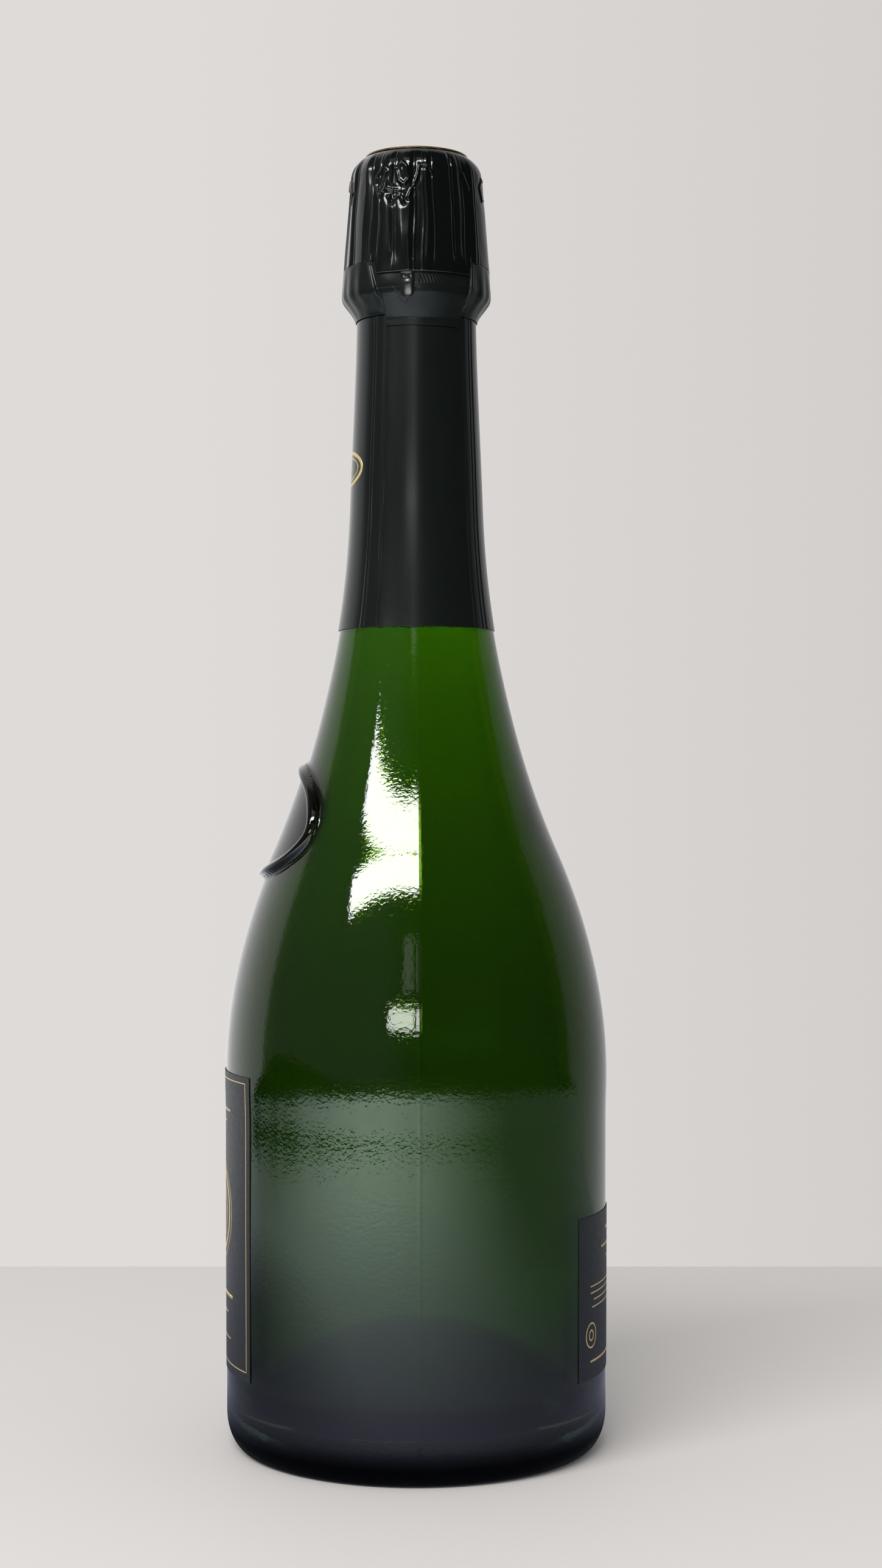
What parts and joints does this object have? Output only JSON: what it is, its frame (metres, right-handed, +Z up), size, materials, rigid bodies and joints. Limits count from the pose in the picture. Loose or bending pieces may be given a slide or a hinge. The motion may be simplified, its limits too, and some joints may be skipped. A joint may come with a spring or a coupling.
{
  "type": "sparkling wine bottle",
  "caption": "Sealed sparkling wine bottle in dark green glass with a raised oval seal, mushroom cork, wire cage, pleated foil hood, neck foil and blank labels.",
  "frame": {"origin": "middle of the foot, in the plane that the bottle stands on", "axes": "+Z up along the bottle; -X out of the front label and the glass seal; +X out of the back label; the pull tab and the wire eyelet face -Y"},
  "size_m": [0.0946, 0.0944, 0.3205],
  "materials": {
    "green_glass": "gloss",
    "wine": "gloss",
    "label_paper": "satin",
    "neck_foil": "satin",
    "hood_foil": "gloss",
    "ground_cork": "matte",
    "natural_cork": "matte",
    "lacquered_cap": "gloss",
    "steel_wire": "satin"
  },
  "bodies": {
    "bottle": {"bottle_glass": "green_glass", "wine": "wine", "front_label": "label_paper", "back_label": "label_paper", "foil_skirt": "neck_foil"},
    "cork": {"cork_body": "ground_cork", "cork_disc_upper": "natural_cork", "cork_disc_lower": "natural_cork"},
    "cage": {"cage_cap": "lacquered_cap", "cage_top_wire": "steel_wire", "cage_belt": "steel_wire"},
    "leg_1": {"cage_leg_1": "steel_wire"},
    "leg_2": {"cage_leg_2": "steel_wire"},
    "leg_3": {"cage_leg_3": "steel_wire"},
    "leg_4": {"cage_leg_4": "steel_wire"},
    "stem": {"cage_twist": "steel_wire"},
    "eyelet": {"cage_eyelet": "steel_wire"},
    "crown": {"foil_crown": "hood_foil"},
    "band": {"foil_tear_band": "hood_foil"},
    "tab": {"foil_pull_tab": "hood_foil"}
  },
  "joints": [
    {"name": "cork_draw", "type": "slide", "parent": "bottle", "child": "cork", "axis": [0, 0, 1], "range_m": [0, 0.06]},
    {"name": "cage_lift", "type": "slide", "parent": "cork", "child": "cage", "axis": [0, 0, 1], "range_m": [0, 0.05], "deforming": ["cage_belt"]},
    {"name": "crown_lift", "type": "slide", "parent": "cage", "child": "crown", "axis": [0, 0, 1], "range_m": [0, 0.05]},
    {"name": "band_peel", "type": "slide", "parent": "bottle", "child": "band", "axis": [0, -1, 0], "range_m": [0, 0.08], "deforming": ["foil_tear_band"]},
    {"name": "tab_lift", "type": "hinge", "parent": "band", "child": "tab", "pos_m": [-0.00211, -0.01855, 0.28995], "axis": [-0.9936, 0.1132, 0], "range_deg": [0, 150]},
    {"name": "eyelet_fold", "type": "hinge", "parent": "cage", "child": "stem", "pos_m": [0, -0.01604, 0.28265], "axis": [1, 0, 0], "range_deg": [0, 100], "deforming": ["cage_twist"]},
    {"name": "eyelet_untwist", "type": "hinge", "parent": "stem", "child": "eyelet", "pos_m": [0, -0.01672, 0.2936], "axis": [0, 0.077, 0.997], "range_deg": [0, 1080], "deforming": ["cage_eyelet"]},
    {"name": "leg_1_splay", "type": "hinge", "parent": "cage", "child": "leg_1", "pos_m": [0.00863, 0.00863, 0.3167], "axis": [0.7071, -0.7071, 0], "range_deg": [0, 8], "deforming": ["cage_leg_1"]},
    {"name": "leg_2_splay", "type": "hinge", "parent": "cage", "child": "leg_2", "pos_m": [-0.00863, 0.00863, 0.3167], "axis": [0.7071, 0.7071, 0], "range_deg": [0, 8], "deforming": ["cage_leg_2"]},
    {"name": "leg_3_splay", "type": "hinge", "parent": "cage", "child": "leg_3", "pos_m": [-0.00863, -0.00863, 0.3167], "axis": [-0.7071, 0.7071, 0], "range_deg": [0, 8], "deforming": ["cage_leg_3"]},
    {"name": "leg_4_splay", "type": "hinge", "parent": "cage", "child": "leg_4", "pos_m": [0.00863, -0.00863, 0.3167], "axis": [-0.7071, -0.7071, 0], "range_deg": [0, 8], "deforming": ["cage_leg_4"]}
  ],
  "couplings": [
    {"joint": "leg_1_splay", "follows": "eyelet_untwist", "ratio": 0.0074},
    {"joint": "leg_2_splay", "follows": "eyelet_untwist", "ratio": 0.0074},
    {"joint": "leg_3_splay", "follows": "eyelet_untwist", "ratio": 0.0074},
    {"joint": "leg_4_splay", "follows": "eyelet_untwist", "ratio": 0.0074}
  ]
}
